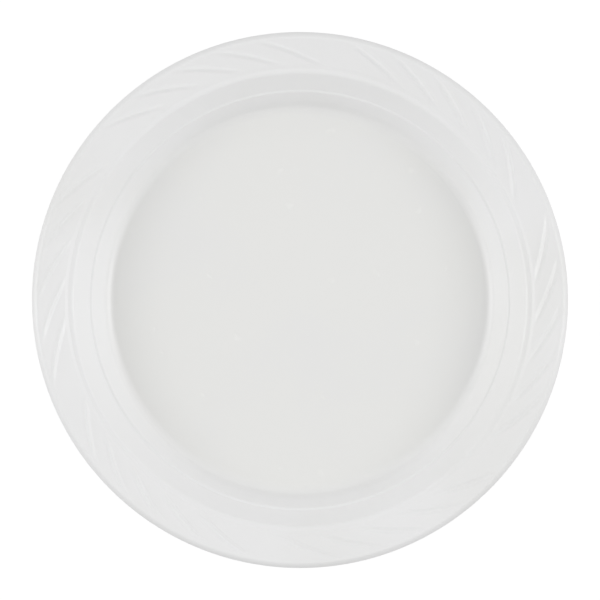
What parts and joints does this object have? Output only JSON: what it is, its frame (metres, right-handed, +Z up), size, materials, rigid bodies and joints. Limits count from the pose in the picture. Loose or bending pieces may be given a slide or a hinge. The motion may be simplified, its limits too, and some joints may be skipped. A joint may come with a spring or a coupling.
{
  "type": "disposable plastic plate",
  "caption": "Round white disposable plate in one thin formed sheet, with a shallow well, a wide rim pressed with swirling ribs and a turned-down lip.",
  "frame": {"origin": "centre of the under face of the floor, on the table the plate rests on", "axes": "+Z up out of the well; the plate is round about +Z, and +X and +Y lie in the table top"},
  "size_m": [0.2286, 0.2286, 0.0217],
  "materials": {
    "white_polystyrene": "satin sheen of formed high-impact polystyrene sheet"
  },
  "bodies": {
    "root": {"plate": "white_polystyrene"}
  },
  "joints": []
}
